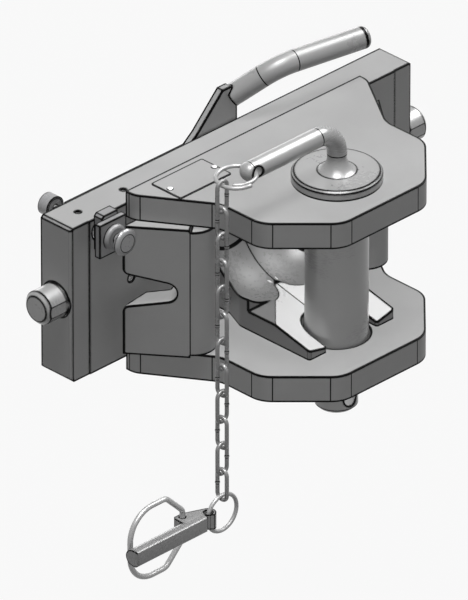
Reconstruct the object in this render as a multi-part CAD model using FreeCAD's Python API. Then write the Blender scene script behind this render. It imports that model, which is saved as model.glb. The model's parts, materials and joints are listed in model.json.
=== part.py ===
import FreeCAD, Part
import math
import os

# Clevis tow hitch for a ladder frame. Millimetres, +Z up, +X to the right seen from the
# trailer, +Y towards the tractor. The origin is on the tow pin's axis, midway between the
# two jaw plates, which is also the height of the side bolts.

V = FreeCAD.Vector
X_AXIS = V(1, 0, 0)
Y_AXIS = V(0, 1, 0)
Z_AXIS = V(0, 0, 1)
ORIGIN = V(0, 0, 0)

# Carrier plate: the slab that slides into the ladder frame
carrier_width = 329.0
carrier_height = 120.0
carrier_thick = 30.0
carrier_front = 90.0
corner_round = 3.0
end_chamfer = 2.0
top_hole_places = (-143.7, -100.5)
top_hole_r = 2.0
top_hole_depth = 6.0
strip_width = 17.0
strip_step = 0.5

# Jaw plates
jaw_gap = 100.0
jaw_thick = 20.0
jaw_half_width = 80.0
jaw_root_half_width = 113.0
jaw_root_y = 82.2
jaw_flank_y = 31.7
jaw_front = -46.0
jaw_corner_run = 39.7
jaw_round = 20.0
jaw_root_round = 15.0

# Tow pin
pin_r = 22.0
pin_clearance = 1.3
pin_tail_r = 15.0
pin_tail_clearance = 0.5
pin_tail_length = 46.3
pin_shoulder_depth = 10.0
shoulder_gap = 0.3
tail_chamfer = 2.0
tail_hole_r = 6.0
tail_hole_drop = 26.0
disc_r = 31.5
disc_thick = 7.5
disc_chamfer = 1.8
flare_r = 13.6
flare_height = 12.5
rod_r = 7.0
rod_bend_r = 19.5
rod_height = 40.0
rod_reach = 84.0
eye_r = 4.3
eye_reach = 82.0

# Upper split ring, chain, lower ring
ring_wire_r = 1.5
ring_r = 14.6
ring_inner_r = 12.6
ring_main_turn = 233.0
ring_inner_turn = 181.0
ring_join_angle = 31.0
ring_tilt = 3.0
ring_centre_x = -94.8
chain_y = 1.0
link_count = 12
link_wire_r = 1.5
link_length = 26.8
link_width = 12.0
hang_gap = 0.3
lower_ring_r = 13.75

# Linch pin and its loop
linch_r = 5.5
linch_bar_length = 41.0
linch_head_length = 38.0
linch_head_height = 14.0
linch_head_front = 5.0
linch_head_back = 12.0
linch_head_round = 7.0
linch_flat = 0.7
linch_eye_r = 3.2
linch_eye_shift = 0.55
loop_wire_r = 2.0
loop_bar_gap = 0.4
loop_pivot_reach = 23.0
loop_half_height = 27.3
loop_leg_start = 11.3
loop_length = 50.0
loop_round = 21.0
loop_gap = 0.2

# Side bolts and the cam that draws them in
bolt_r = 12.5
bolt_clearance = 0.2
bolt_depth = 15.0
bolt_stand_out = 19.5
bolt_inner_x = 53.0
bolt_chamfer = 3.0
bolt_flat_height = 8.5
bolt_groove_width = 1.5
bolt_groove_depth = 0.8
bolt_travel = 20.0
drive_pin_r = 4.0
drive_pin_x = 62.0
cam_turn = 40.0
slot_clearance = 0.3
cam_gap = 1.0
cam_thick = 6.0
pivot_r = 8.0
pivot_clearance = 0.2
pivot_head_r = 13.0
pivot_head_thick = 6.0
pivot_thread_r = 5.0
pivot_thread_length = 18.0
washer_r = 16.0
guide_screw_r = 3.0
guide_screw_x = 107.7

# Index plunger that locks the lever
plunger_x = -137.8
plunger_z = 49.8
plunger_front_r = 3.0
plunger_r = 4.0
plunger_neck_r = 2.0
plunger_clearance = 0.2
plunger_travel = 4.2
plunger_play = 0.3
knob_front = 63.1
knob_r = 10.0
knob_flat_r = 6.5
knob_thick = 5.0
knob_neck_r = 5.0
bush_r = 9.5
bush_length = 4.0
bush_round = 2.5
bracket_thick = 5.0
bracket_width = 25.2
bracket_height = 25.6
bracket_left = 12.6
bracket_low = 13.0
spacer_left = 5.6
spacer_right = 9.3
spacer_rise = 15.2
spacer_depth = 8.0
spring_pocket_r = 7.0
spring_pocket_depth = 24.0
flange_r = 6.5
flange_thick = 3.0
spring_r = 5.2
spring_wire_r = 0.6
spring_turns = 5
cap_r = 8.0
cap_front = 133.0
cap_length = 9.7

# Lever
arm_half_height = 5.6
arm_margin = 9.0
arm_droop = 6.0
rim_margin = 12.0
foot_run = 26.0
foot_depth = 44.0
horn_foot_x = -21.6
horn_outline = ((-13.0, 62.0, 6), (11.5, 86.5, 0), (20.5, 86.5, 2), (25.0, 69.0, 3), (25.0, 44.0, 8))
tube_r = 8.0
tube_wall = 2.0
tube_points = ((22.0, 124.0, 76.6), (46.6, 103.0, 98.6), (113.4, 88.5, 100.1))
tube_bend_r = 33.0
tube_cap_length = 4.0
tube_plug_length = 8.0

# Cheeks between the jaw plates
cheek_rear_x = 124.1
cheek_rear_y = 82.1
cheek_thick = 18.0
column_x = 83.1
column_y = 55.0
column_r = 16.0
column_relief = 1.7
notch_half_mouth = 13.0
notch_depth = 37.2
notch_tip_r = 7.3
notch_mouth_r = 5.0

# Guide casting on the bottom jaw plate
guide_half_width = 41.3
guide_back_half_width = 33.6
guide_shoulder_y = 52.0
guide_taper_y = 70.0
guide_front = -15.0
guide_slot_r = 24.0
guide_floor_height = 15.0
guide_wall_height = 43.6
guide_wall_y = 44.0
guide_ramp_y = 58.9
guide_ramp_angle = 18.0
lobe_r = 46.0
lobe_x = 12.0
lobe_y = 50.0
lobe_lift = 60.0
casting_screw_r = 4.0
casting_screw_x = 31.0
casting_screw_y = 34.0
casting_screw_head_r = 8.0
casting_screw_length = 28.0

# Nameplate
plate_left = -95.0
plate_right = -46.0
plate_front = 55.0
plate_back = 84.0
plate_thick = 1.0
rivet_r = 2.5
rivet_inset = 3.0
rivet_rise = 1.2

jaw_top = jaw_gap / 2 + jaw_thick
jaw_inner = jaw_gap / 2
carrier_rear = carrier_front + carrier_thick
bolt_y = carrier_front + bolt_depth
bolt_end = carrier_width / 2 + bolt_stand_out
rod_z = jaw_top + rod_height
cam_front = carrier_rear + cam_gap
cam_rear = cam_front + cam_thick
loop_back = linch_r + loop_wire_r + loop_bar_gap


def export(name, *shapes):
    """Write one node: one solid, or a group of separate equal pieces."""
    shape = shapes[0] if len(shapes) == 1 else Part.makeCompound(list(shapes))
    count = len(shape.Solids)
    if not shape.isValid() or count != len(shapes):
        print("CHECK", name, "valid", shape.isValid(), "solids", count, "of", len(shapes))
    shape.exportStep("parts/%s.step" % name)
    return shape


def rounded_wire(corners, closed=True):
    """Straight runs joined by tangent arcs: each corner is (point, radius)."""
    count = len(corners)
    edges = []
    last = None
    first = None
    for i, (point, radius) in enumerate(corners):
        inner = closed or 0 < i < count - 1
        start = end = point
        middle = None
        if inner and radius > 0:
            back = (corners[i - 1][0] - point).normalize()
            ahead = (corners[(i + 1) % count][0] - point).normalize()
            half = back.getAngle(ahead) / 2
            run = radius / math.tan(half)
            start = point + back * run
            end = point + ahead * run
            bisector = (back + ahead).normalize()
            middle = point + bisector * (radius / math.sin(half) - radius)
        if last is not None and last.distanceToPoint(start) > 1e-6:
            edges.append(Part.makeLine(last, start))
        if first is None:
            first = start
        if middle is not None:
            edges.append(Part.Arc(start, middle, end).toShape())
        last = end
    if closed and last.distanceToPoint(first) > 1e-6:
        edges.append(Part.makeLine(last, first))
    return Part.Wire(edges)


def prism(corners, direction):
    return Part.Face(rounded_wire(corners)).extrude(direction)


def plan(points, low, high):
    """A plan outline of (x, y, radius) points, from height low to height high."""
    corners = [(V(x, y, low), radius) for x, y, radius in points]
    return prism(corners, V(0, 0, high - low))


def both_halves(points):
    """An outline that is the same on the left, from its right half, front point first."""
    left = [(-x, y, radius) for x, y, radius in reversed(points)]
    return list(points) + left


def rod(start, direction, radius, length):
    return Part.makeCylinder(radius, length, start, direction)


def box(low, high):
    return Part.makeBox(high[0] - low[0], high[1] - low[1], high[2] - low[2], V(*low))


def turned(profile, base, axis):
    """A body of revolution from (radius, distance along the axis) points."""
    side = V(0, 0, 1) if abs(axis.z) < 0.5 else V(1, 0, 0)
    points = [base + side * r + axis * along for r, along in profile]
    points.append(points[0])
    return Part.Face(Part.makePolygon(points)).revolve(base, axis, 360)


def mirrored(shape):
    return shape.mirror(ORIGIN, X_AXIS)


def swept_wire(path, radius):
    """A round wire along a tangent path."""
    edge = path.OrderedEdges[0] if hasattr(path, "OrderedEdges") else path.Edges[0]
    start = edge.valueAt(edge.FirstParameter)
    ahead = edge.tangentAt(edge.FirstParameter)
    circle = Part.Wire(Part.makeCircle(radius, start, ahead))
    return path.makePipeShell([circle], True, False)


def carrier_plate():
    half = carrier_width / 2
    high = carrier_height / 2
    c = end_chamfer
    right = ((half, carrier_front, corner_round), (half, carrier_rear, 0))
    plate = plan(both_halves(right), -high, high)
    face = ((half, -high + c), (half, high - c), (half - c, high), (-half + c, high),
            (-half, high - c), (-half, -high + c), (-half + c, -high), (half - c, -high))
    corners = [(V(x, carrier_front - 1, z), 0) for x, z in face]
    plate = plate.common(prism(corners, V(0, carrier_thick + 2, 0)))
    for side in (-1, 1):
        outer = side * (half + 1)
        inner = side * (half - strip_width)
        step = box((min(outer, inner), carrier_front - 1, -high - 1),
                   (max(outer, inner), carrier_front + strip_step, high + 1))
        plate = plate.cut(step)
        bore_end = bolt_inner_x - bolt_travel - 3
        bore = rod(V(side * bore_end, bolt_y, 0), X_AXIS * side, bolt_r + bolt_clearance, half)
        plate = plate.cut(bore)
        plate = plate.cut(drive_slot(side))
        plate = plate.cut(rod(V(side * guide_screw_x, carrier_front - 1, 0), Y_AXIS,
                              guide_screw_r, bolt_depth))
    for x in top_hole_places:
        plate = plate.cut(rod(V(x, bolt_y, high - top_hole_depth), Z_AXIS, top_hole_r,
                              top_hole_depth + 1))
    plate = plate.cut(rod(V(0, carrier_rear - pivot_thread_length, 0), Y_AXIS,
                          pivot_thread_r, pivot_thread_length + 1))
    pocket = rod(V(plunger_x, carrier_front - 1, plunger_z), Y_AXIS,
                 spring_pocket_r, spring_pocket_depth + 1)
    bore = rod(V(plunger_x, carrier_front, plunger_z), Y_AXIS,
               plunger_r + plunger_clearance, carrier_thick + 1)
    return plate.cut(pocket).cut(bore)


def drive_slot(side):
    """The slot in the carrier's rear that the drive pin runs along."""
    wide = drive_pin_r + 2 * slot_clearance
    near = side * (drive_pin_x - bolt_travel)
    far = side * drive_pin_x
    low = min(near, far)
    high = max(near, far)
    slot = box((low, bolt_y, -wide), (high, carrier_rear + 1, wide))
    for x in (low, high):
        slot = slot.fuse(rod(V(x, bolt_y, 0), Y_AXIS, wide, carrier_rear + 1 - bolt_y))
    return slot


def jaw_outline():
    corner_y = jaw_front + jaw_corner_run
    right = ((jaw_half_width - jaw_corner_run, jaw_front, jaw_round),
             (jaw_half_width, corner_y, jaw_round),
             (jaw_half_width, jaw_flank_y, jaw_round),
             (jaw_root_half_width, jaw_root_y, jaw_root_round),
             (jaw_root_half_width, carrier_front, 0))
    return both_halves(right)


def top_jaw_plate():
    plate = plan(jaw_outline(), jaw_inner, jaw_top)
    return plate.cut(rod(V(0, 0, jaw_inner - 1), Z_AXIS, pin_r + pin_clearance, jaw_thick + 2))


def bottom_jaw_plate():
    plate = plan(jaw_outline(), -jaw_top, -jaw_inner)
    recess = rod(V(0, 0, -jaw_inner - pin_shoulder_depth), Z_AXIS,
                 pin_r + pin_clearance, pin_shoulder_depth + 1)
    tail = rod(V(0, 0, -jaw_top - 1), Z_AXIS, pin_tail_r + pin_tail_clearance, jaw_thick)
    plate = plate.cut(recess).cut(tail)
    for side in (-1, 1):
        plate = plate.cut(casting_screw(side, 0.0))
    return plate


def casting_screw(side, extra):
    """Countersunk screw up through the bottom jaw plate into the guide casting."""
    head = casting_screw_head_r - casting_screw_r
    r = casting_screw_r
    profile = ((0, 0), (r + head, 0), (r, head), (r, casting_screw_length + extra),
               (0, casting_screw_length + extra))
    return turned(profile, V(side * casting_screw_x, casting_screw_y, -jaw_top), Z_AXIS)


def left_cheek():
    rear = V(-cheek_rear_x, cheek_rear_y, -jaw_inner)
    column = V(-column_x, column_y, -jaw_inner)
    reach = column - rear
    lean = math.asin(column_r / reach.Length)
    along = V(reach.x, reach.y, 0).normalize()
    turn = FreeCAD.Rotation(Z_AXIS, -math.degrees(lean))
    along = turn.multVec(along)
    across = V(-along.y, along.x, 0)
    wall_length = reach.Length * math.cos(lean)
    front = rear + along * wall_length
    inner_front = front + across * cheek_thick
    inner_rear = inner_front - along * ((inner_front.y - cheek_rear_y) / along.y)
    corners = [(rear, 0), (front, 0), (inner_front, 0), (inner_rear, 0)]
    wall = prism(corners, V(0, 0, jaw_gap))
    post = rod(column + V(0, 0, column_relief), Z_AXIS, column_r, jaw_gap - 2 * column_relief)
    cheek = wall.fuse(post)
    tip_lean = math.atan2(notch_half_mouth, notch_depth - notch_tip_r)
    reach_tip = math.hypot(notch_half_mouth, notch_depth - notch_tip_r)
    edge_lean = tip_lean - math.asin(notch_tip_r / reach_tip)
    tip = notch_half_mouth / math.tan(edge_lean)
    far = 3 * notch_half_mouth
    shape = ((-10, far, 0), (0, far, 0), (0, notch_half_mouth, notch_mouth_r), (tip, 0, notch_tip_r),
             (0, -notch_half_mouth, notch_mouth_r), (0, -far, 0), (-10, -far, 0))
    base = rear + V(0, 0, jaw_inner) - across * 5
    notch = prism([(base + along * s + V(0, 0, z), r) for s, z, r in shape],
                  across * (cheek_thick + 10))
    return cheek.cut(notch).removeSplitter()


def guide_casting():
    """Funnel that lifts and centres the tow eye; made as one half and mirrored."""
    low = -jaw_inner
    floor = low + guide_floor_height
    wall = low + guide_wall_height
    half = plan(((-guide_half_width, guide_front, 2), (-guide_slot_r, guide_front, 2),
                 (-guide_slot_r, 0, 0), (0, 0, 0), (0, carrier_front, 0),
                 (-guide_back_half_width, carrier_front, 0),
                 (-guide_back_half_width, guide_taper_y, 12),
                 (-guide_half_width, guide_shoulder_y, 12)), low, wall)
    half = half.cut(rod(V(0, 0, low - 1), Z_AXIS, guide_slot_r, guide_wall_height + 2))
    half = half.cut(box((-guide_half_width - 1, guide_front - 1, floor), (1, guide_wall_y, wall + 1)))
    lobe = Part.makeSphere(lobe_r, V(-lobe_x, lobe_y, low + lobe_lift))
    half = half.cut(lobe)
    fall = math.tan(math.radians(guide_ramp_angle))
    long = 200.0
    start = V(0, guide_ramp_y, 0)
    down = V(1, -1, 0).normalize()
    run = V(1, 1, 0).normalize()
    base = start - run * long
    section = [(base + V(0, 0, floor), 0), (base + down * long + V(0, 0, floor - fall * long), 0),
               (base + down * long + V(0, 0, wall + 1), 0), (base + V(0, 0, wall + 1), 0)]
    half = half.cut(prism(section, run * (2 * long)))
    casting = half.fuse(mirrored(half)).removeSplitter()
    for side in (-1, 1):
        casting = casting.cut(casting_screw(side, 0.5))
    return casting


def tow_pin():
    shoulder = -jaw_inner - pin_shoulder_depth + shoulder_gap
    tail = -jaw_inner - pin_shoulder_depth - pin_tail_length
    top = jaw_top + disc_thick
    c = tail_chamfer
    profile = ((0, tail), (pin_tail_r - c, tail), (pin_tail_r, tail + c), (pin_tail_r, shoulder),
               (pin_r - 1, shoulder), (pin_r, shoulder + 1), (pin_r, jaw_top), (disc_r, jaw_top),
               (disc_r, top - disc_chamfer), (disc_r - disc_chamfer, top), (flare_r, top))
    points = [V(r, 0, z) for r, z in profile]
    edges = [Part.makeLine(a, b) for a, b in zip(points, points[1:])]
    flare_top = V(rod_r, 0, top + flare_height)
    middle = V(rod_r + (flare_r - rod_r) * 0.3, 0, top + flare_height * 0.3)
    edges.append(Part.Arc(points[-1], middle, flare_top).toShape())
    axis_top = V(0, 0, flare_top.z)
    edges.append(Part.makeLine(flare_top, axis_top))
    edges.append(Part.makeLine(axis_top, points[0]))
    body = Part.Face(Part.Wire(edges)).revolve(ORIGIN, Z_AXIS, 360)
    path = rounded_wire([(V(0, 0, flare_top.z), 0), (V(0, 0, rod_z), rod_bend_r),
                         (V(-rod_reach, 0, rod_z), 0)], closed=False)
    handle = swept_wire(path, rod_r)
    end = Part.makeSphere(rod_r, V(-rod_reach, 0, rod_z))
    pin = body.fuse(handle).fuse(end)
    pin = pin.cut(rod(V(-eye_reach, -rod_r - 1, rod_z), Y_AXIS, eye_r, 2 * rod_r + 2))
    cross = rod(V(0, -pin_tail_r - 1, -jaw_top - tail_hole_drop), Y_AXIS,
                tail_hole_r, 2 * pin_tail_r + 2)
    return pin.cut(cross)


def on_ring(centre, radius, angle):
    turn = math.radians(angle)
    return centre + V(radius * math.cos(turn), radius * math.sin(turn), 0)


def arc_on_ring(centre, radius, start, end):
    middle = (start + end) / 2
    return Part.Arc(on_ring(centre, radius, start), on_ring(centre, radius, middle),
                    on_ring(centre, radius, end)).toShape()


def upper_split_ring():
    """Sprung ring of about one and a sixth turns, its inner end inside the outer turn."""
    centre = V(ring_centre_x, chain_y, rod_z)
    join = ring_join_angle
    main = arc_on_ring(centre, ring_r, join + ring_main_turn, join)
    inner_centre = on_ring(centre, ring_r - ring_inner_r, join)
    inner = arc_on_ring(inner_centre, ring_inner_r, join, join - ring_inner_turn)
    return swept_wire(Part.Wire([main, inner]), ring_wire_r)


def link_half():
    return link_length / 2 - link_wire_r


def first_link_z():
    hook = tilted_hook()
    return hook.z + 2 * ring_wire_r + hang_gap - link_half()


def tilted_hook():
    """Centre of the ring's wire where the chain hangs on it."""
    point = V(ring_centre_x - ring_r, chain_y, rod_z)
    turn = FreeCAD.Placement(V(0, 0, 0), FreeCAD.Rotation(Y_AXIS, -ring_tilt), V(-eye_reach, 0, rod_z))
    return turn.multVec(point)


def link_pitch():
    return 2 * link_half() - 2 * link_wire_r - hang_gap


def chain_link(number):
    """Links are numbered from the top; odd ones face the trailer, even ones face sideways."""
    centre = V(tilted_hook().x, chain_y, first_link_z() - (number - 1) * link_pitch())
    side = X_AXIS if number % 2 else Y_AXIS
    bend = link_width / 2 - link_wire_r
    tall = link_half()
    straight = tall - bend
    a = centre + side * bend + Z_AXIS * straight
    b = centre - side * bend + Z_AXIS * straight
    c = centre - side * bend - Z_AXIS * straight
    d = centre + side * bend - Z_AXIS * straight
    loop = Part.Wire([Part.Arc(a, centre + Z_AXIS * tall, b).toShape(), Part.makeLine(b, c),
                      Part.Arc(c, centre - Z_AXIS * tall, d).toShape(), Part.makeLine(d, a)])
    circle = Part.Wire(Part.makeCircle(link_wire_r, a, Z_AXIS))
    return loop.makePipeShell([circle], True, False)


def lower_ring_centre():
    last = first_link_z() - (link_count - 1) * link_pitch()
    top = last - link_half() + 2 * link_wire_r + hang_gap
    return V(tilted_hook().x, chain_y, top - lower_ring_r)


def lower_ring():
    return Part.makeTorus(lower_ring_r, ring_wire_r, lower_ring_centre(), Y_AXIS)


def linch_head_end():
    """Right end of the linch pin's head, just inside the lower ring."""
    return lower_ring_centre().x - lower_ring_r + 2 * linch_eye_r


def linch_pin():
    centre = lower_ring_centre()
    end = linch_head_end()
    head_start = end - linch_head_length
    tip = head_start - linch_bar_length
    low = centre.z - linch_head_height / 2
    head = plan(((head_start, centre.y - linch_head_front, 1.5),
                 (end, centre.y - linch_head_front, linch_head_round),
                 (end, centre.y + linch_head_back, linch_head_round),
                 (head_start, centre.y + linch_head_back, 3)), low, low + linch_head_height)
    flat = linch_r - linch_flat
    bar = rod(V(tip, centre.y, centre.z), X_AXIS, linch_r, linch_bar_length + 1)
    bar = bar.cut(box((tip - 1, centre.y - linch_r - 1, low),
                      (end, centre.y - flat, low + linch_head_height)))
    pin = head.fuse(bar)
    eye_x = centre.x - lower_ring_r + linch_eye_shift
    pin = pin.cut(rod(V(eye_x, centre.y, low - 1), Z_AXIS, linch_eye_r, linch_head_height + 2))
    pivot = V(loop_x(), centre.y + loop_back, low - 1)
    return pin.cut(rod(pivot, Z_AXIS, loop_wire_r + loop_gap, linch_head_height + 2))


def loop_x():
    return linch_head_end() - loop_pivot_reach


def linch_loop():
    """D-shaped wire loop whose ends turn in the linch pin's head."""
    centre = lower_ring_centre()
    x = loop_x()
    y = centre.y + loop_back
    slope = loop_half_height - loop_leg_start
    upper = ((0, 3.0, 0), (0, loop_leg_start, 5), (-slope, loop_half_height, 8),
             (-loop_length, loop_half_height, loop_round))
    lower = [(dx, -dz, r) for dx, dz, r in reversed(upper)]
    path = rounded_wire([(V(x + dx, y, centre.z + dz), r) for dx, dz, r in list(upper) + lower],
                        closed=False)
    return swept_wire(path, loop_wire_r)


def left_side_bolt():
    length = bolt_end - bolt_inner_x
    c = bolt_chamfer
    groove = bolt_stand_out - bolt_groove_width
    neck = bolt_r - bolt_groove_depth
    profile = ((0, 0), (bolt_r - c, 0), (bolt_r, c), (bolt_r, groove), (neck, groove),
               (neck, bolt_stand_out), (bolt_r, bolt_stand_out), (bolt_r, length - 1),
               (bolt_r - 1, length), (0, length))
    bolt = turned(profile, V(-bolt_end, bolt_y, 0), X_AXIS)
    flat_depth = math.sqrt(bolt_r ** 2 - (bolt_flat_height / 2) ** 2)
    flat = box((-bolt_end - 1, bolt_y - bolt_r - 1, -bolt_r), (0, bolt_y - flat_depth, bolt_r))
    hole = rod(V(-drive_pin_x, bolt_y - bolt_r / 2, 0), Y_AXIS, drive_pin_r, 2 * bolt_r)
    return bolt.cut(flat).cut(hole)


def left_drive_pin():
    start = bolt_y - bolt_r / 2
    return rod(V(-drive_pin_x, start, 0), Y_AXIS, drive_pin_r, cam_rear + 1.5 - start)


def bolt_guide_screw(side):
    flat_depth = math.sqrt(bolt_r ** 2 - (bolt_flat_height / 2) ** 2)
    tip = bolt_y - flat_depth - 0.15
    screw = rod(V(side * guide_screw_x, carrier_front + 1, 0), Y_AXIS, guide_screw_r,
                tip - carrier_front - 1)
    socket = rod(V(side * guide_screw_x, carrier_front, 0), Y_AXIS, guide_screw_r / 2, 2)
    return screw.cut(socket)


def cam_slot(side):
    """Spiral slot: the radius falls evenly by the bolt's travel over the lever's turn."""
    wide = drive_pin_r + slot_clearance
    rate = bolt_travel / math.radians(cam_turn)
    steps = 6
    outer = []
    inner = []
    for i in range(steps + 1):
        turn = math.radians(cam_turn) * i / steps
        radius = drive_pin_x - rate * turn
        out = V(math.cos(turn), 0, -math.sin(turn))
        ahead = V(-math.sin(turn), 0, -math.cos(turn))
        heading = (ahead * radius - out * rate).normalize()
        normal = V(-heading.z, 0, heading.x)
        point = out * radius
        outer.append(point + normal * wide)
        inner.append(point - normal * wide)
        if i == 0:
            first_tip = point - heading * wide
        last_tip = point + heading * wide
    top = Part.BSplineCurve()
    top.interpolate(outer)
    bottom = Part.BSplineCurve()
    bottom.interpolate(inner)
    wire = Part.Wire([top.toShape(), Part.Arc(outer[-1], last_tip, inner[-1]).toShape(),
                      bottom.toShape(), Part.Arc(inner[0], first_tip, outer[0]).toShape()])
    slot = Part.Face(wire)
    slot.translate(V(0, cam_front - 1, 0))
    slot = slot.extrude(V(0, cam_thick + 2, 0))
    if side < 0:
        slot.rotate(ORIGIN, Y_AXIS, 180)
    return slot


def lever_cam_plate():
    """Cam plate with a raised horn for the tube and an arm that the plunger locks."""
    arm_low = plunger_z - arm_half_height
    arm_high = plunger_z + arm_half_height
    arm_end = plunger_x - arm_margin
    rim = drive_pin_x + rim_margin
    foot = rim - foot_run
    outline = ((rim, 10.0, 8), (foot, -foot_depth, 12), (-foot, -foot_depth, 12), (-rim, -10.0, 8),
               (-rim - 4, arm_low - arm_margin, 10),
               (plunger_x + rim_margin, arm_low - arm_droop, 6),
               (arm_end, arm_low - arm_droop, 4), (arm_end, arm_high, 2),
               (horn_foot_x, arm_high, 0)) + horn_outline + ((drive_pin_x, 40.0, 12),)
    corners = [(V(x, cam_front, z), radius) for x, z, radius in outline]
    plate = prism(corners, V(0, cam_thick, 0))
    plate = plate.cut(rod(V(0, cam_front - 1, 0), Y_AXIS, pivot_r + pivot_clearance, cam_thick + 2))
    for side in (-1, 1):
        plate = plate.cut(cam_slot(side))
    eye = plunger_r + 2 * plunger_clearance
    neck = plunger_neck_r + 2 * plunger_clearance
    seat = rod(V(plunger_x, cam_front - 1, plunger_z), Y_AXIS, eye, cam_thick + 2)
    mouth = box((plunger_x - neck, cam_front - 1, plunger_z), (plunger_x + neck, cam_rear + 1,
                                                               arm_high + 5))
    return plate.cut(seat).cut(mouth)


def tube_path():
    points = [V(*p) for p in tube_points]
    return rounded_wire([(points[0], 0), (points[1], tube_bend_r), (points[2], 0)], closed=False)


def tube_heading():
    return (V(*tube_points[-1]) - V(*tube_points[-2])).normalize()


def lever_tube():
    outer = swept_wire(tube_path(), tube_r)
    inner = swept_wire(tube_path(), tube_r - tube_wall)
    return outer.cut(inner).cut(lever_cam_plate())


def lever_tube_cap():
    end = V(*tube_points[-1])
    inner = tube_r - tube_wall
    heading = tube_heading()
    plug = rod(end - heading * tube_plug_length, heading, inner, tube_plug_length)
    cap = rod(end, heading, tube_r, tube_cap_length)
    rim = [e for e in cap.Edges if e.Closed and abs((e.CenterOfMass - end).dot(heading)
                                                    - tube_cap_length) < 0.01]
    cap = cap.makeFillet(tube_cap_length * 0.8, rim)
    return cap.fuse(plug).removeSplitter()


def lever_pivot_screw():
    thread_start = -pivot_thread_length
    head_start = cam_gap + cam_thick + pivot_clearance
    head_end = head_start + pivot_head_thick
    profile = ((0, thread_start), (pivot_thread_r, thread_start), (pivot_thread_r, 0),
               (pivot_r, 0), (pivot_r, head_start), (pivot_head_r, head_start),
               (pivot_head_r, head_end - 1), (pivot_head_r - 1, head_end), (0, head_end))
    screw = turned(profile, V(0, carrier_rear, 0), Y_AXIS)
    socket_r = pivot_r / 2 + 1.0
    socket = [(V(socket_r * math.cos(math.radians(60 * i)), carrier_rear + head_end - 4,
                 socket_r * math.sin(math.radians(60 * i))), 0) for i in range(6)]
    return screw.cut(prism(socket, Y_AXIS * 5))


def lever_pivot_washer():
    washer = rod(V(0, carrier_rear, 0), Y_AXIS, washer_r, cam_gap)
    return washer.cut(rod(V(0, carrier_rear - 1, 0), Y_AXIS, pivot_r, cam_gap + 2))


def at_plunger(y):
    return V(plunger_x, y, plunger_z)


def plunger_rod():
    """Drawn out: the thick part stops short of the cam plate and the neck passes through it."""
    thick_end = cam_front - 0.3
    flange_y = carrier_front + spring_pocket_depth - plunger_travel - flange_thick - 0.5
    cap_bottom = cap_front
    profile = ((0, knob_front + 2), (plunger_front_r, knob_front + 2), (plunger_front_r, flange_y),
               (flange_r, flange_y), (flange_r, flange_y + flange_thick),
               (plunger_r, flange_y + flange_thick), (plunger_r, thick_end - 0.5),
               (plunger_r - 0.5, thick_end), (plunger_neck_r, thick_end),
               (plunger_neck_r, cap_bottom + 4), (0, cap_bottom + 4))
    return turned(profile, at_plunger(0), Y_AXIS)


def plunger_knob():
    back = knob_front + knob_thick
    neck_end = bracket_rear() - bracket_thick - bush_length - plunger_travel - plunger_play
    middle = (knob_front + back) / 2
    points = (V(0, knob_front, 0), V(knob_flat_r, knob_front, 0), V(knob_r, middle, 0),
              V(knob_neck_r, back, 0), V(knob_neck_r, neck_end, 0), V(0, neck_end, 0))
    rim_front = V(knob_r - 1.0, knob_front + 0.9, 0)
    rim_back = V(knob_r - 0.8, back - 0.7, 0)
    edges = [Part.makeLine(points[0], points[1]),
             Part.Arc(points[1], rim_front, points[2]).toShape(),
             Part.Arc(points[2], rim_back, points[3]).toShape(),
             Part.makeLine(points[3], points[4]), Part.makeLine(points[4], points[5]),
             Part.makeLine(points[5], points[0])]
    knob = Part.Face(Part.Wire(edges)).revolve(ORIGIN, Y_AXIS, 360)
    knob.translate(at_plunger(0))
    hole = rod(at_plunger(knob_front + 2), Y_AXIS, plunger_front_r, 20)
    return knob.cut(hole)


def bracket_rear():
    return carrier_front - spacer_depth


def plunger_bush():
    start = bracket_rear() - bracket_thick - bush_length
    bush = rod(at_plunger(start), Y_AXIS, bush_r, bush_length)
    rim = [e for e in bush.Edges if e.Closed and abs(e.CenterOfMass.y - start) < 0.01]
    bush = bush.makeFillet(bush_round, rim)
    return bush.cut(rod(at_plunger(start - 1), Y_AXIS, plunger_front_r + plunger_clearance,
                        bush_length + 2))


def plunger_bracket():
    left = plunger_x - bracket_left
    low = plunger_z - bracket_low
    plate = box((left, bracket_rear() - bracket_thick, low),
                (left + bracket_width, bracket_rear(), low + bracket_height))
    return plate.cut(rod(at_plunger(0), Y_AXIS, plunger_front_r + plunger_clearance, carrier_front))


def plunger_spacer():
    left = plunger_x - spacer_left
    low = plunger_z - bracket_low
    high = plunger_z + spacer_rise
    right = plunger_x + spacer_right
    y = bracket_rear()
    corners = [(left, low), (right, low), (right, high), (left + 2, high), (left, high - 2)]
    block = prism([(V(x, y, z), 0) for x, z in corners], V(0, carrier_front - y, 0))
    return block.cut(rod(at_plunger(0), Y_AXIS, plunger_front_r + plunger_clearance,
                         carrier_front + 1))


def plunger_spring():
    flange_y = carrier_front + spring_pocket_depth - plunger_travel - flange_thick - 0.5
    start = carrier_front + spring_wire_r + 0.1
    length = flange_y - start - spring_wire_r - 0.1
    helix = Part.makeHelix(length / spring_turns, length, spring_r)
    begin = V(spring_r, 0, 0)
    circle = Part.Wire(Part.makeCircle(spring_wire_r, begin, Y_AXIS))
    coil = Part.Wire(helix.Edges).makePipeShell([circle], True, True)
    coil.rotate(ORIGIN, X_AXIS, -90)
    coil.translate(at_plunger(start))
    return coil


def plunger_rear_cap():
    cap = rod(at_plunger(cap_front), Y_AXIS, cap_r, cap_length)
    rim = [e for e in cap.Edges if e.Closed and abs(e.CenterOfMass.y - cap_front - cap_length) < 0.01]
    cap = cap.makeChamfer(0.8, rim)
    return cap.cut(rod(at_plunger(cap_front - 1), Y_AXIS, plunger_neck_r, 5))


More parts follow.
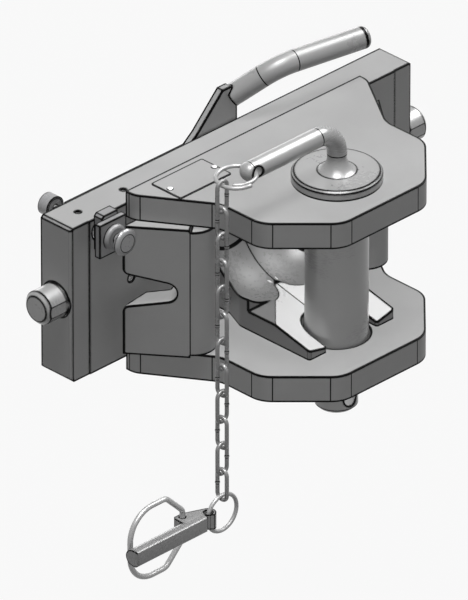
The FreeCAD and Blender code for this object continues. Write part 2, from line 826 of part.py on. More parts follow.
def nameplate():
    plate = plan(((plate_left, plate_front, 1.5), (plate_right, plate_front, 1.5),
                  (plate_right, plate_back, 1.5), (plate_left, plate_back, 1.5)),
                 jaw_top, jaw_top + plate_thick)
    for x in rivet_places():
        plate = plate.cut(rod(V(x, (plate_front + plate_back) / 2, jaw_top - 1), Z_AXIS,
                              rivet_r / 2, plate_thick + 2))
    return plate


def rivet_places():
    return (plate_left + rivet_inset + rivet_r / 2, plate_right - rivet_inset + rivet_r / 4)


def nameplate_rivet(x):
    """Domed head on a short shank that fills the plate's hole."""
    base = jaw_top + plate_thick
    dome_r = (rivet_r ** 2 + rivet_rise ** 2) / (2 * rivet_rise)
    ball = Part.makeSphere(dome_r, V(0, 0, rivet_rise - dome_r))
    head = ball.common(rod(ORIGIN, Z_AXIS, 2 * rivet_r, rivet_rise + 1))
    head.translate(V(x, (plate_front + plate_back) / 2, base))
    shank = rod(V(x, (plate_front + plate_back) / 2, jaw_top), Z_AXIS, rivet_r / 2, plate_thick)
    return head.fuse(shank).removeSplitter()


def tilted_ring():
    ring = upper_split_ring()
    ring.rotate(V(-eye_reach, 0, rod_z), Y_AXIS, -ring_tilt)
    return ring


def main():
    os.makedirs("parts", exist_ok=True)
    export("carrier_plate", carrier_plate())
    export("top_jaw_plate", top_jaw_plate())
    export("bottom_jaw_plate", bottom_jaw_plate())
    cheek = left_cheek()
    export("left_cheek", cheek)
    export("right_cheek", mirrored(cheek))
    export("guide_casting", guide_casting())
    export("guide_casting_screws", casting_screw(-1, 0.0), casting_screw(1, 0.0))
    export("nameplate", nameplate())
    export("nameplate_rivets", *[nameplate_rivet(x) for x in rivet_places()])
    export("tow_pin", tow_pin())
    export("upper_split_ring", tilted_ring())
    for number in range(1, link_count + 1):
        export("chain_link_%02d" % number, chain_link(number))
    export("lower_ring", lower_ring())
    export("linch_pin", linch_pin())
    export("linch_loop", linch_loop())
    bolt = left_side_bolt()
    export("left_side_bolt", bolt)
    export("right_side_bolt", mirrored(bolt))
    drive = left_drive_pin()
    export("left_drive_pin", drive)
    export("right_drive_pin", mirrored(drive))
    export("bolt_guide_screws", bolt_guide_screw(-1), bolt_guide_screw(1))
    export("lever_cam_plate", lever_cam_plate())
    export("lever_tube", lever_tube())
    export("lever_tube_cap", lever_tube_cap())
    export("lever_pivot_screw", lever_pivot_screw())
    export("lever_pivot_washer", lever_pivot_washer())
    export("plunger_bracket", plunger_bracket())
    export("plunger_spacer", plunger_spacer())
    export("plunger_bush", plunger_bush())
    export("plunger_rod", plunger_rod())
    export("plunger_knob", plunger_knob())
    export("plunger_spring", plunger_spring())
    export("plunger_rear_cap", plunger_rear_cap())
    hook = tilted_hook()
    centre = lower_ring_centre()
    print("hook", round(hook.x, 3), round(hook.y, 3), round(hook.z, 3))
    print("first link z", round(first_link_z(), 3), "pitch", round(link_pitch(), 3),
          "half", round(link_half(), 3))
    print("lower ring", [round(c, 3) for c in centre], "loop x", round(loop_x(), 3))


main()
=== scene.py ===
import json
import math

import bmesh
import bpy
from mathutils import Matrix, Vector


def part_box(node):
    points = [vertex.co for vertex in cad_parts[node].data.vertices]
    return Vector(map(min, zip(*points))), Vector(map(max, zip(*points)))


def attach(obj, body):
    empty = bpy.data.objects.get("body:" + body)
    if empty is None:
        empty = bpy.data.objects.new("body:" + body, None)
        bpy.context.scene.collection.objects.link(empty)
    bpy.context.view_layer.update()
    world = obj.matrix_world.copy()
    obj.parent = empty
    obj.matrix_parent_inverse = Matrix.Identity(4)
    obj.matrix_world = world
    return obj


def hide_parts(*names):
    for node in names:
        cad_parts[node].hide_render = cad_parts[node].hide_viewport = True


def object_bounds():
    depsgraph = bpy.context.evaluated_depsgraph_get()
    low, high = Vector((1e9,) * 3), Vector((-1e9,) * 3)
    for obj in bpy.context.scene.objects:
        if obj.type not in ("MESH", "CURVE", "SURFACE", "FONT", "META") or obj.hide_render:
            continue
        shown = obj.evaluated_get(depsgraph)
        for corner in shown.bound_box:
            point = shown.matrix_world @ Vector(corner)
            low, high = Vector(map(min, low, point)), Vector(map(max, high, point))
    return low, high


# Clevis tow hitch: the looks of a grey painted hitch with turned, cast and zinc plated parts.
# Metres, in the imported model's frame. The camera looks from the front left and above.

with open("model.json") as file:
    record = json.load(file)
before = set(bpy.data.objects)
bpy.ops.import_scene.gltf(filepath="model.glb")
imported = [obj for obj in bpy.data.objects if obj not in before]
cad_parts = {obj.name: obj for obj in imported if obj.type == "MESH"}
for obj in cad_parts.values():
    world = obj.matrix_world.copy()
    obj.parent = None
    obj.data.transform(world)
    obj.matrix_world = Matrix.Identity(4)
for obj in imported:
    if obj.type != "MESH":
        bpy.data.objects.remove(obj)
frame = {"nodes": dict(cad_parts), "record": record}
cad_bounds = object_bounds()
nodes = frame["nodes"]


def grey(level):
    return (level, level, level, 1.0)


# The camera's place round the part, the height of its picture and how far the part is off centre.
VIEW_AZIMUTH = math.radians(225.0)
VIEW_ELEVATION = math.radians(30.0)
VIEW_HEIGHT = 0.4087
VIEW_SHIFT_RIGHT = -0.06996
VIEW_SHIFT_UP = -0.02153
LENS = 1200.0
SENSOR = 36.0
CLIP_DISTANCES = 20.0

# Dark seams where one face runs smoothly into the next. The plates' seams are upright lines
# at plan places of the right half, and count for the left half too.
JAW_SEAMS = ((0.0320, -0.0460), (0.0462, -0.0401), (0.0741, -0.0122), (0.0800, 0.0020),
             (0.0833, 0.0367), (0.1106, 0.0785), (0.1130, 0.0867))
CHEEK_SEAMS = ((0.0958, 0.0453),)
# Rings round a bar: a point on the bar's axis, the axis direction and the reach round the point.
TUBE_SEAMS = (((0.0386, 0.1098, 0.0915), (24.6, -21.0, 22.0), 0.012),
              ((0.0590, 0.1003, 0.0989), (66.8, -14.5, 1.5), 0.012))
ROD_SEAMS = (((-0.0195, 0.0, 0.110), (1.0, 0.0, 0.0), 0.009),
             ((-0.0840, 0.0, 0.110), (1.0, 0.0, 0.0), 0.009),
             ((0.0, 0.0, 0.0905), (0.0, 0.0, 1.0), 0.009))
# The groove on the knob's end: its centre, the directions it lies in and its radius.
KNOB_CIRCLE = ((-0.1378, 0.0, 0.0498), (1.0, 0.0, 1.0), 0.0065)
# Each kind of line is solid up to the first distance and gone from the second.
SEAM_FADE = (0.0003, 0.0006)
CIRCLE_FADE = (0.0002, 0.0005)
REACH_FADE = 0.001
# Sharp edges: how far the rounded normal leans away there, and the tone of every dark line.
EDGE_SAMPLES = 16
EDGE_LEAN = (0.002, 0.010)
EDGE_BLACK = grey(0.004)

# The guide casting's ramp lies on one sloping plane, the same left and right. Its face is tilted
# between two limits, which the lobes beside it are not. The ramp's light tone is a painted
# highlight.
RAMP_SLOPE = (-0.22975, -0.22975, 1.0)
RAMP_DROP = 0.04853
RAMP_FADE = (0.0002, 0.0004)
RAMP_TILT_FROM = (0.940, 0.946)
RAMP_TILT_TO = (0.956, 0.962)
RAMP_HIGHLIGHT_TONE = grey(0.72)

# Every skin has a cloudy tone, a speck and a finer grain or brushing, and is rubbed lighter where
# speck and grain stand out. Each noise has a detail and a roughness.
CLOUD_SCALE = 14.0
CLOUD_NOISE = (4.0, 0.55)
CLOUD_SPREAD = (0.3, 0.7)
SPECK_NOISE = (2.0, 0.55)
FINE_NOISE = (5.0, 0.65)
FINE_SHARE = 0.22
BRUSH_NOISE = (3.0, 0.6)
RUBBED_MIX = (0.7, 0.3)
RUBBED_SPREAD = (0.52, 0.78)
RUBBED_LIGHTER = 1.5
BUMP_MIX = (0.6, 0.4)
BUMP_STRENGTH = 0.35
CLOUD_ROUGHNESS = 0.10
FINE_ROUGHNESS = 0.16

PAINT = grey(0.325)
STEEL = (0.27, 0.27, 0.275, 1.0)
FINISHES = {
    "carrier_paint": dict(color=PAINT, roughness=0.52, mottle=0.05, wear=0.08),
    "jaw_paint": dict(color=grey(0.33), roughness=0.5, mottle=0.05, wear=0.08, upright=JAW_SEAMS),
    "cheek_paint": dict(color=PAINT, roughness=0.5, mottle=0.05, wear=0.08, upright=CHEEK_SEAMS),
    # The guide casting's ramp gets a painted highlight, a lighter tone.
    "guide_cast": dict(color=grey(0.19), roughness=0.32, metallic=0.05, mottle=0.04, grain=1400.0,
                       grain_depth=0.00002, wear=0.03, gloss=0.6, ramp=True),
    "lever_paint": dict(color=grey(0.28), roughness=0.3, mottle=0.05, wear=0.08, gloss=0.6,
                        rings=TUBE_SEAMS),
    "tow_pin_steel": dict(color=grey(0.325), roughness=0.3, metallic=0.05, mottle=0.05,
                          brush=(260.0, (1.0, 1.0, 14.0)), grain_depth=0.00001, wear=0.03,
                          gloss=0.6, rings=ROD_SEAMS),
    "pin_steel": dict(color=grey(0.29), roughness=0.28, metallic=0.05, mottle=0.05,
                      brush=(260.0, (14.0, 1.0, 1.0)), wear=0.1, gloss=0.8),
    "knob_steel": dict(color=STEEL, roughness=0.3, metallic=0.05, mottle=0.05,
                       brush=(320.0, (1.0, 12.0, 1.0)), line=0.0016, gloss=0.8,
                       circle=KNOB_CIRCLE),
    "plunger_steel": dict(color=STEEL, roughness=0.45, metallic=0.05, mottle=0.06, line=0.0022),
    "zinc_screws": dict(color=grey(0.42), roughness=0.34, metallic=0.4, line=0.0005),
    "nameplate_metal": dict(color=grey(0.33), roughness=0.4, metallic=0.1, mottle=0.04,
                            brush=(300.0, (1.0, 16.0, 1.0)), line=0.0022, wear=0.1),
    "rivet_metal": dict(color=grey(0.8), roughness=0.3, metallic=0.1, line=0.0010),
    "chain_zinc": dict(color=grey(0.21), roughness=0.28, metallic=0.1, grain=1800.0, line=0.0005,
                       gloss=0.7),
    "ring_zinc": dict(color=grey(0.36), roughness=0.26, metallic=0.1, mottle=0.08, grain=1800.0,
                      line=0.0005, gloss=0.7),
    "linch_zinc": dict(color=grey(0.24), roughness=0.3, metallic=0.05, mottle=0.06, line=0.0016,
                       gloss=0.6),
    "spring_steel": dict(color=grey(0.42), roughness=0.3, metallic=0.35, mottle=0.08, line=0.0005),
}

# The chain's links, of round wire with a weld bead. Length and width are between wire centres;
# these and the wire are a usual link's, and each link takes those of its own solid.
LINK_COUNT = 12
LINK_LENGTH = 0.0238
LINK_WIDTH = 0.009
LINK_WIRE_R = 0.0015
LINK_WIRE_SIDES = 16
LINK_CORNER_SHARE = 0.499
LINK_CORNER_POINTS = 9
WELD_SWELL = 1.22
WELD_SQUASH = (1.0, 0.85, 1.0)
WELD_RINGS = 10

# The linch pin: a bar that is flat in front and round behind, with the loop's lug at its back.
# Nose, inset, eye place and lug length are measured in from the ends of its solid.
LINCH_FRONT = 0.0048
LINCH_HALF_HEIGHT = 0.0060
LINCH_ROUND_STEPS = 24
LINCH_EDGE = 0.0018
LINCH_EDGE_STEPS = 5
LINCH_NOSE = 0.0105
LINCH_INSET = 0.0002
LINCH_LUG_LENGTH = 0.0286
LINCH_LUG_HALF = 0.0059
LINCH_LUG_HEEL = 0.0085
LINCH_LUG_CORNER = 0.0015
LINCH_LUG_WAIST = 0.006
LINCH_EYE_PLACE = 0.0059
LINCH_EYE_R = 0.0032
LINCH_RIM_R = 0.0055
LINCH_RIM_TURN = (-80.0, 65.0)
LINCH_RIM_STEPS = 18
LOOP_WIRE_R = 0.002
LOOP_PLAY = 0.0002
HOLE_SIDES = 24
DRILL_HALF = 0.01
SAME_PLACE = 1e-6
SHARP_ANGLE = math.radians(32.0)

# The studio: a floor well below the chain, white to the camera, and a faint glow all round.
FLOOR_DROP = 0.15
FLOOR_SIZE = 30.0
FLOOR_TONE = grey(0.14)
FLOOR_WHITE = 0.93
WORLD_GLOW = 0.08
WHITE = grey(1.0)
# A lamp's strength, where it shines from, its softness in degrees, and whether it throws shadows
# and lights matte skins.
LAMPS = {
    "top_sun": (0.9, (-0.145, -0.145, 1.0), 20.0, True, True),
    "fill_sun": (2.85, (-0.145, -0.145, 1.0), 20.0, False, True),
    "rear_fill": (0.9, (0.45, 0.85, -0.03), 30.0, False, True),
    "front_softbox": (2.5, (-0.34, -0.34, 0.88), 40.0, False, False),
    "right_softbox": (5.5, (0.61, -0.1, 0.78), 40.0, False, False),
    "rear_softbox": (0.3, (0.29, 0.29, 0.91), 40.0, False, False),
}


class Num:
    """One number that varies over a surface: sums and products on it add Math nodes."""

    def __init__(self, maker, socket):
        self.maker = maker
        self.socket = socket

    def _math(self, operation, *values):
        settings = {"operation": operation}
        return self.maker.num("ShaderNodeMath", settings, dict(enumerate(values)))

    def __add__(self, other):
        return self._math("ADD", self, other)

    __radd__ = __add__

    def __sub__(self, other):
        return self._math("SUBTRACT", self, other)

    def __rsub__(self, other):
        return self._math("SUBTRACT", other, self)

    def __mul__(self, other):
        return self._math("MULTIPLY", self, other)

    __rmul__ = __mul__

    def __abs__(self):
        return self._math("ABSOLUTE", self)

    def largest(self, other):
        return self._math("MAXIMUM", self, other)

    def step(self, low, high):
        """0 below low, 1 above high, smooth between."""
        settings = {"interpolation_type": "SMOOTHSTEP"}
        names = {"Value": self, "From Min": low, "From Max": high}
        return self.maker.num("ShaderNodeMapRange", settings, names)

    def line(self, solid, gone):
        """1 up to the distance solid, 0 from the distance gone."""
        return 1.0 - self.step(solid, gone)


class NodeMaker:
    """Adds nodes to one tree, with their settings and the values or links of their sockets."""

    def __init__(self, tree):
        self.tree = tree

    def node(self, kind, settings=None, inputs=None):
        made = self.tree.nodes.new(kind)
        for key, value in (settings or {}).items():
            setattr(made, key, value)
        for key, value in (inputs or {}).items():
            self.feed(made.inputs[key], value)
        return made

    def feed(self, socket, value):
        if isinstance(value, Num):
            value = value.socket
        if isinstance(value, bpy.types.NodeSocket):
            self.tree.links.new(value, socket)
        else:
            socket.default_value = value

    def num(self, kind, settings, inputs, output=0):
        return Num(self, self.node(kind, settings, inputs).outputs[output])

    def background_rays(self):
        """1 for rays that show the white background: seen, mirrored or through glass."""
        rays = self.node("ShaderNodeLightPath").outputs
        seen, mirrored, through = [Num(self, rays["Is %s Ray" % kind])
                                   for kind in ("Camera", "Glossy", "Transmission")]
        return seen.largest(mirrored).largest(through)


class Finish(NodeMaker):
    """A material under construction."""

    def __init__(self, name):
        self.material = bpy.data.materials.new(name)
        self.material.use_nodes = True
        super().__init__(self.material.node_tree)
        self.tree.nodes.clear()
        self.out = self.node("ShaderNodeOutputMaterial")

    def finish(self, shader):
        self.feed(self.out.inputs["Surface"], shader)
        return self.material

    def where(self):
        return self.node("ShaderNodeTexCoord").outputs["Object"]

    def vector(self, operation, first, second=(0.0, 0.0, 0.0)):
        made = self.node("ShaderNodeVectorMath", {"operation": operation}, {0: first, 1: second})
        return made.outputs["Vector"]

    def measure(self, operation, first, second=(0.0, 0.0, 0.0)):
        """The DISTANCE or DOT_PRODUCT of two vectors, or the LENGTH of the first."""
        inputs = {0: first, 1: second}
        return self.num("ShaderNodeVectorMath", {"operation": operation}, inputs, "Value")

    def folded(self):
        """The place on the piece with its left half laid over its right half."""
        sideways = self.vector("ABSOLUTE", self.vector("MULTIPLY", self.where(), (1.0, 0.0, 0.0)))
        rest = self.vector("MULTIPLY", self.where(), (0.0, 1.0, 1.0))
        return self.vector("ADD", sideways, rest)

    def noise(self, scale, detail, roughness, stretch=(1.0, 1.0, 1.0)):
        place = self.node("ShaderNodeMapping", {}, {"Vector": self.where(), "Scale": stretch})
        inputs = {"Vector": place.outputs[0], "Scale": scale, "Detail": detail,
                  "Roughness": roughness}
        return self.num("ShaderNodeTexNoise", {}, inputs)

    def blend(self, amount, first, second):
        """The first colour at amount 0, the second at 1."""
        inputs = {0: amount, 6: first, 7: second}
        return self.node("ShaderNodeMix", {"data_type": "RGBA"}, inputs).outputs[2]

    def edges(self, radius):
        """1 along sharp edges, 0 on flats and round stretches."""
        settings = {"samples": EDGE_SAMPLES}
        rounded = self.node("ShaderNodeBevel", settings, {"Radius": radius}).outputs[0]
        straight = self.node("ShaderNodeNewGeometry").outputs["Normal"]
        return (1.0 - self.measure("DOT_PRODUCT", rounded, straight)).step(*EDGE_LEAN)

    def upright_seams(self, places):
        """1 on upright lines at these plan places and their mirror images, 0 elsewhere."""
        plan = self.vector("MULTIPLY", self.folded(), (1.0, 1.0, 0.0))
        lines = [self.measure("DISTANCE", plan, (x, y, 0.0)).line(*SEAM_FADE) for x, y in places]
        return sum(lines).step(0.0, 1.0)

    def ring_seams(self, rings):
        """1 on these rings round a bar, 0 elsewhere."""
        lines = []
        for point, axis, reach in rings:
            offset = self.vector("SUBTRACT", self.where(), point)
            along = abs(self.measure("DOT_PRODUCT", offset, Vector(axis).normalized()))
            near = self.measure("LENGTH", offset).line(reach, reach + REACH_FADE)
            lines.append(along.line(*SEAM_FADE) * near)
        return sum(lines).step(0.0, 1.0)

    def circle_groove(self, centre, across, radius):
        """1 on a circle, 0 elsewhere."""
        flat = self.vector("MULTIPLY", self.where(), across)
        return abs(self.measure("DISTANCE", flat, centre) - radius).line(*CIRCLE_FADE)

    def ramp_highlight_mask(self):
        """1 where the guide casting's ramp gets its painted highlight, 0 elsewhere."""
        above = self.measure("DOT_PRODUCT", self.folded(), RAMP_SLOPE) + RAMP_DROP
        facing = self.node("ShaderNodeNewGeometry").outputs["True Normal"]
        tilt = self.num("ShaderNodeSeparateXYZ", {}, {0: facing}, "Z")
        return abs(above).line(*RAMP_FADE) * (tilt.step(*RAMP_TILT_FROM) * tilt.line(*RAMP_TILT_TO))


def shade(color, factor):
    return tuple(c * factor for c in color[:3]) + (1.0,)


def mixed(fine, speck, shares):
    return fine * shares[0] + speck * shares[1]


def metal_finish(name, color, roughness, metallic=0.0, mottle=0.10, grain=900.0,
                 grain_depth=0.00004, brush=None, wear=0.15, line=0.0028, gloss=0.3,
                 upright=(), rings=(), circle=None, ramp=False):
    """Paint, casting skin or turned steel, with dark lines along sharp edges, light wear, and a
    painted highlight on the guide casting's ramp.
    """
    skin = Finish(name)
    cloud = skin.noise(CLOUD_SCALE, *CLOUD_NOISE).step(*CLOUD_SPREAD)
    speck = skin.noise(grain, *SPECK_NOISE)
    if brush:
        scale, stretch = brush
        fine = skin.noise(scale, *BRUSH_NOISE, stretch)
    else:
        fine = skin.noise(grain * FINE_SHARE, *FINE_NOISE)
    tone = skin.blend(cloud, shade(color, 1.0 - mottle), shade(color, 1.0 + mottle))
    # The guide casting's ramp gets a painted highlight, a lighter tone.
    if ramp:
        tone = skin.blend(skin.ramp_highlight_mask(), tone, RAMP_HIGHLIGHT_TONE)
    rubbed = mixed(fine, speck, RUBBED_MIX).step(*RUBBED_SPREAD) * wear
    tone = skin.blend(rubbed, tone, shade(color, RUBBED_LIGHTER))
    edge = skin.edges(line)
    if upright:
        edge = edge.largest(skin.upright_seams(upright))
    if rings:
        edge = edge.largest(skin.ring_seams(rings))
    if circle:
        edge = edge.largest(skin.circle_groove(*circle))
    bump = skin.node("ShaderNodeBump", {}, {
        "Strength": BUMP_STRENGTH, "Distance": grain_depth,
        "Height": mixed(fine, speck, BUMP_MIX)})
    shader = skin.node("ShaderNodeBsdfPrincipled", {}, {
        "Base Color": skin.blend(edge, tone, EDGE_BLACK),
        "Metallic": edge * (1.0 - metallic) + metallic,
        "Roughness": roughness + (cloud - 0.5) * CLOUD_ROUGHNESS + (fine - 0.5) * FINE_ROUGHNESS,
        "Specular IOR Level": gloss,
        "Normal": bump.outputs[0]})
    return skin.finish(shader.outputs[0])


def make_finishes():
    return {name: metal_finish(name, **look) for name, look in FINISHES.items()}


def dress_cad_nodes(finishes):
    """Each solid gets the finish that the record's material slot names."""
    slots = {s["node"]: s["material_slot"] for s in frame["record"]["subparts"]}
    for name, obj in nodes.items():
        obj.data.materials.clear()
        obj.data.materials.append(finishes[slots[name]])


def link_tree(material):
    """Geometry nodes of one chain link: a filleted rectangle of round wire with a weld bead."""
    tree = bpy.data.node_groups.new("welded_link", "GeometryNodeTree")
    for name, kind, value in (("Length", "Float", LINK_LENGTH), ("Width", "Float", LINK_WIDTH),
                              ("Wire", "Float", LINK_WIRE_R), ("Weld", "Float", WELD_SWELL),
                              ("Turned", "Float", 0.0), ("Centre", "Vector", (0.0, 0.0, 0.0))):
        socket = tree.interface.new_socket(name, in_out="INPUT", socket_type="NodeSocket" + kind)
        socket.default_value = value
    tree.interface.new_socket("Geometry", in_out="OUTPUT", socket_type="NodeSocketGeometry")
    maker = NodeMaker(tree)
    given = maker.node("NodeGroupInput").outputs
    width = Num(maker, given["Width"])
    wire = Num(maker, given["Wire"])
    rectangle = maker.node("GeometryNodeCurvePrimitiveQuadrilateral", {}, {
        "Width": width, "Height": given["Length"]})
    path = maker.node("GeometryNodeFilletCurve", {"mode": "POLY"}, {
        "Curve": rectangle.outputs["Curve"], "Count": LINK_CORNER_POINTS,
        "Radius": width * LINK_CORNER_SHARE})
    section = maker.node("GeometryNodeCurvePrimitiveCircle", {}, {
        "Resolution": LINK_WIRE_SIDES, "Radius": wire})
    rounded = maker.node("GeometryNodeCurveToMesh", {}, {
        "Curve": path.outputs["Curve"], "Profile Curve": section.outputs["Curve"]})
    bead = maker.node("GeometryNodeMeshUVSphere", {}, {
        "Segments": LINK_WIRE_SIDES, "Rings": WELD_RINGS,
        "Radius": wire * Num(maker, given["Weld"])})
    side = maker.node("ShaderNodeCombineXYZ", {}, {"X": width * 0.5})
    weld = maker.node("GeometryNodeTransform", {}, {
        "Geometry": bead.outputs["Mesh"], "Translation": side.outputs[0], "Scale": WELD_SQUASH})
    link = maker.node("GeometryNodeJoinGeometry")
    for part in (rounded, weld):
        maker.feed(link.inputs[0], part.outputs[0])
    hanging = maker.node("GeometryNodeTransform", {}, {
        "Geometry": link.outputs[0], "Rotation": (math.pi / 2, 0.0, 0.0)})
    turn = maker.node("ShaderNodeCombineXYZ", {}, {"Z": given["Turned"]})
    placed = maker.node("GeometryNodeTransform", {}, {
        "Geometry": hanging.outputs[0], "Rotation": turn.outputs[0],
        "Translation": given["Centre"]})
    smooth = maker.node("GeometryNodeSetShadeSmooth", {}, {"Geometry": placed.outputs[0]})
    real = maker.node("GeometryNodeRealizeInstances", {}, {"Geometry": smooth.outputs[0]})
    dressed = maker.node("GeometryNodeSetMaterial", {}, {
        "Geometry": real.outputs[0], "Material": material})
    maker.node("NodeGroupOutput", {}, {0: dressed.outputs[0]})
    return tree


def evaluated_mesh(obj):
    """A plain mesh of the object as its modifiers leave it."""
    bpy.context.view_layer.update()
    graph = bpy.context.evaluated_depsgraph_get()
    return bpy.data.meshes.new_from_object(obj.evaluated_get(graph))


def grown_mesh(name, tree, values):
    """Run a geometry tree with the given inputs and keep the result as a plain mesh object."""
    holder = bpy.data.objects.new(name, bpy.data.meshes.new(name))
    bpy.context.scene.collection.objects.link(holder)
    modifier = holder.modifiers.new("grow", "NODES")
    modifier.node_group = tree
    for item in tree.interface.items_tree:
        if item.item_type == "SOCKET" and item.in_out == "INPUT" and item.name in values:
            modifier[item.identifier] = values[item.name]
    mesh = evaluated_mesh(holder)
    holder.modifiers.remove(modifier)
    holder.data = mesh
    mesh.name = name
    return holder


def make_chain(finishes):
    """Twelve welded links, each in the place and of the size of its solid."""
    tree = link_tree(finishes["chain_zinc"])
    for number in range(1, LINK_COUNT + 1):
        node = "chain_link_%02d" % number
        low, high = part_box(node)
        size = high - low
        wire = min(size.x, size.y) / 2
        wide = max(size.x, size.y)
        values = {"Length": size.z - 2 * wire, "Width": wide - 2 * wire, "Wire": wire,
                  "Weld": WELD_SWELL, "Turned": 0.0 if size.x > size.y else math.pi / 2,
                  "Centre": tuple((low + high) / 2)}
        link = grown_mesh("welded_link_%02d" % number, tree, values)
        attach(link, "link_%02d" % number)
        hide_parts(node)


def mesh_object(name, mesh, material):
    """An object of this mesh, smooth but for its sharp edges."""
    for poly in mesh.polygons:
        poly.use_smooth = True
    mesh.set_sharp_from_angle(angle=SHARP_ANGLE)
    mesh.materials.clear()
    mesh.materials.append(material)
    obj = bpy.data.objects.new(name, mesh)
    bpy.context.scene.collection.objects.link(obj)
    return obj


def arc(centre, radius, start, end, steps):
    """Points of an arc in the plane, angles in degrees."""
    turns = [math.radians(start + (end - start) * i / steps) for i in range(steps + 1)]
    return [(centre[0] + radius * math.cos(t), centre[1] + radius * math.sin(t)) for t in turns]


def prism_solid(points, direction):
    """A closed solid: the flat outline, swept along the direction."""
    made = bmesh.new()
    face = made.faces.new([made.verts.new(p) for p in points])
    swept = bmesh.ops.extrude_face_region(made, geom=[face])
    moved = [v for v in swept["geom"] if isinstance(v, bmesh.types.BMVert)]
    bmesh.ops.translate(made, verts=moved, vec=direction)
    bmesh.ops.recalc_face_normals(made, faces=made.faces)
    return made


def upright_solid(outline, middle, half):
    """The outline in plan, standing half above and half below the middle height."""
    points = [(x, y, middle - half) for x, y in outline]
    return prism_solid(points, (0.0, 0.0, 2 * half))


def drill(centre, radius, middle):
    """An upright round drill that goes through the whole pin."""
    last = 360.0 - 360.0 / HOLE_SIDES
    return upright_solid(arc(centre, radius, 0.0, last, HOLE_SIDES - 1), middle, DRILL_HALF)


def working_object(name, solid):
    obj = bpy.data.objects.new(name, bpy.data.meshes.new(name))
    solid.to_mesh(obj.data)
    bpy.context.scene.collection.objects.link(obj)
    return obj


def carved(name, base, tools):
    """The base solid joined with, or cut by, each tool solid in turn."""
    holder = working_object(name, base)
    helpers = []
    for operation, tool in tools:
        helper = working_object(name + "_tool", tool)
        modifier = holder.modifiers.new("carve", "BOOLEAN")
        modifier.operation = operation
        modifier.solver = "EXACT"
        modifier.object = helper
        helpers.append(helper)
    mesh = evaluated_mesh(holder)
    for leftover in helpers + [holder]:
        bpy.data.objects.remove(leftover)
    return mesh


def linch_bar(low, high, y, z):
    """The bar: a flat front with rounded edges and a half round back."""
    section = [(-LINCH_FRONT, -LINCH_HALF_HEIGHT)]
    section += arc((0.0, 0.0), LINCH_HALF_HEIGHT, -90.0, 90.0, LINCH_ROUND_STEPS)
    section += [(-LINCH_FRONT, LINCH_HALF_HEIGHT)]
    length = high.x - LINCH_NOSE - low.x
    bar = prism_solid([(low.x, y + a, z + b) for a, b in section], (length, 0.0, 0.0))
    front = y - LINCH_FRONT
    rounded = [e for e in bar.edges if all(abs(v.co.y - front) < SAME_PLACE for v in e.verts)]
    bmesh.ops.bevel(bar, geom=rounded, offset=LINCH_EDGE, segments=LINCH_EDGE_STEPS, profile=0.5,
                    affect="EDGES")
    return bar


def linch_lug(high, y, z, eye):
    """The lug: a round rim about the eye, and a back that reaches to the loop."""
    start = high.x - LINCH_LUG_LENGTH
    back = high.y - LINCH_INSET
    outline = arc(eye, LINCH_RIM_R, *LINCH_RIM_TURN, LINCH_RIM_STEPS)
    outline += [(start + LINCH_LUG_HEEL, back), (start + LINCH_LUG_CORNER, back),
                (start, back - LINCH_LUG_CORNER), (start, y), (eye[0] - LINCH_LUG_WAIST, y)]
    return upright_solid(outline, z, LINCH_LUG_HALF)


def make_linch_pin(finishes):
    """The bar and its lug, with a hole for the loop's wire and an eye for the lower ring."""
    low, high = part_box("linch_pin")
    y = low.y + LINCH_FRONT + LINCH_INSET
    z = (low.z + high.z) / 2
    eye = (high.x - LINCH_EYE_PLACE, y)
    loop_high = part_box("linch_loop")[1]
    pivot = (loop_high.x - LOOP_WIRE_R, loop_high.y - LOOP_WIRE_R)
    mesh = carved("linch_pin_bar", linch_bar(low, high, y, z),
                  (("UNION", linch_lug(high, y, z, eye)),
                   ("DIFFERENCE", drill(pivot, LOOP_WIRE_R + LOOP_PLAY, z)),
                   ("DIFFERENCE", drill(eye, LINCH_EYE_R, z))))
    pin = mesh_object("linch_pin_bar", mesh, finishes["linch_zinc"])
    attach(pin, "linch_pin")
    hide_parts("linch_pin")


def make_floor():
    """A pale floor that is white to the camera and still takes the part's shadow."""
    low = cad_bounds[0][2] - FLOOR_DROP
    half = FLOOR_SIZE / 2
    corners = [(-half, -half, low), (half, -half, low), (half, half, low), (-half, half, low)]
    mesh = bpy.data.meshes.new("floor")
    mesh.from_pydata(corners, [], [(0, 1, 2, 3)])
    floor = bpy.data.objects.new("floor", mesh)
    bpy.context.scene.collection.objects.link(floor)
    skin = Finish("pale_floor")
    matte = skin.node("ShaderNodeBsdfDiffuse", {}, {"Color": FLOOR_TONE}).outputs[0]
    white = skin.node("ShaderNodeEmission", {}, {"Color": WHITE, "Strength": 1.0}).outputs[0]
    share = skin.background_rays() * FLOOR_WHITE
    both = skin.node("ShaderNodeMixShader", {}, {0: share, 1: matte, 2: white}).outputs[0]
    mesh.materials.append(skin.finish(both))


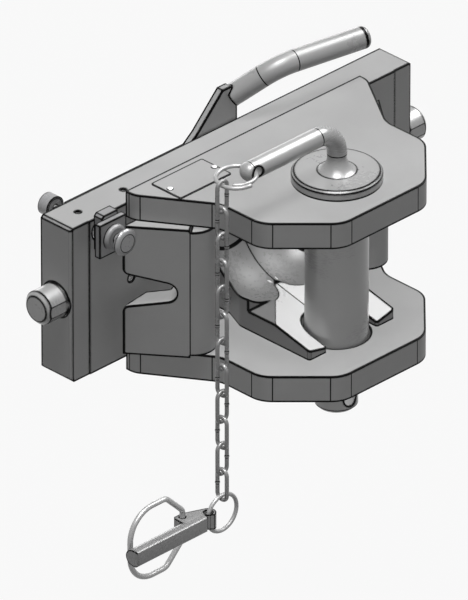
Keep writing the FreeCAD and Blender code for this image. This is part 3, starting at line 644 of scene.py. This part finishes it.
def make_world():
    """A faint glow on the part, and plain white behind it."""
    world = bpy.data.worlds.new("studio")
    bpy.context.scene.world = world
    world.use_nodes = True
    world.node_tree.nodes.clear()
    maker = NodeMaker(world.node_tree)
    glow, white = [maker.node("ShaderNodeBackground", {}, {"Color": WHITE, "Strength": strength})
                   for strength in (WORLD_GLOW, 1.0)]
    both = maker.node("ShaderNodeMixShader", {}, {
        0: maker.background_rays(), 1: glow.outputs[0], 2: white.outputs[0]})
    maker.node("ShaderNodeOutputWorld", {}, {"Surface": both.outputs[0]})


def make_lamps():
    for name, (strength, direction, softness, shadow, matte) in LAMPS.items():
        lamp = bpy.data.lights.new(name, "SUN")
        lamp.energy = strength
        lamp.angle = math.radians(softness)
        lamp.use_shadow = shadow
        obj = bpy.data.objects.new(name, lamp)
        obj.rotation_euler = Vector(direction).to_track_quat("Z", "Y").to_euler()
        obj.visible_diffuse = matte
        bpy.context.scene.collection.objects.link(obj)


def make_camera():
    """The photograph's view, from so far that its lines of sight are almost parallel."""
    data = bpy.data.cameras.new("photo_view")
    data.type = "PERSP"
    data.lens = LENS
    data.sensor_fit = "VERTICAL"
    data.sensor_height = SENSOR
    distance = VIEW_HEIGHT * LENS / SENSOR
    data.clip_end = CLIP_DISTANCES * distance
    level = math.cos(VIEW_ELEVATION)
    back = Vector((level * math.cos(VIEW_AZIMUTH), level * math.sin(VIEW_AZIMUTH),
                   math.sin(VIEW_ELEVATION)))
    right = Vector((-math.sin(VIEW_AZIMUTH), math.cos(VIEW_AZIMUTH), 0.0))
    up = back.cross(right)
    centre = right * VIEW_SHIFT_RIGHT + up * VIEW_SHIFT_UP
    turn = Matrix((right, up, back)).transposed().to_4x4()
    camera = bpy.data.objects.new("photo_view", data)
    camera.matrix_world = Matrix.Translation(centre + back * distance) @ turn
    bpy.context.scene.collection.objects.link(camera)
    bpy.context.scene.camera = camera


def set_view():
    settings = bpy.context.scene.view_settings
    settings.view_transform = "Standard"


finishes = make_finishes()
dress_cad_nodes(finishes)
make_chain(finishes)
make_linch_pin(finishes)
make_floor()
make_world()
make_lamps()
make_camera()
set_view()
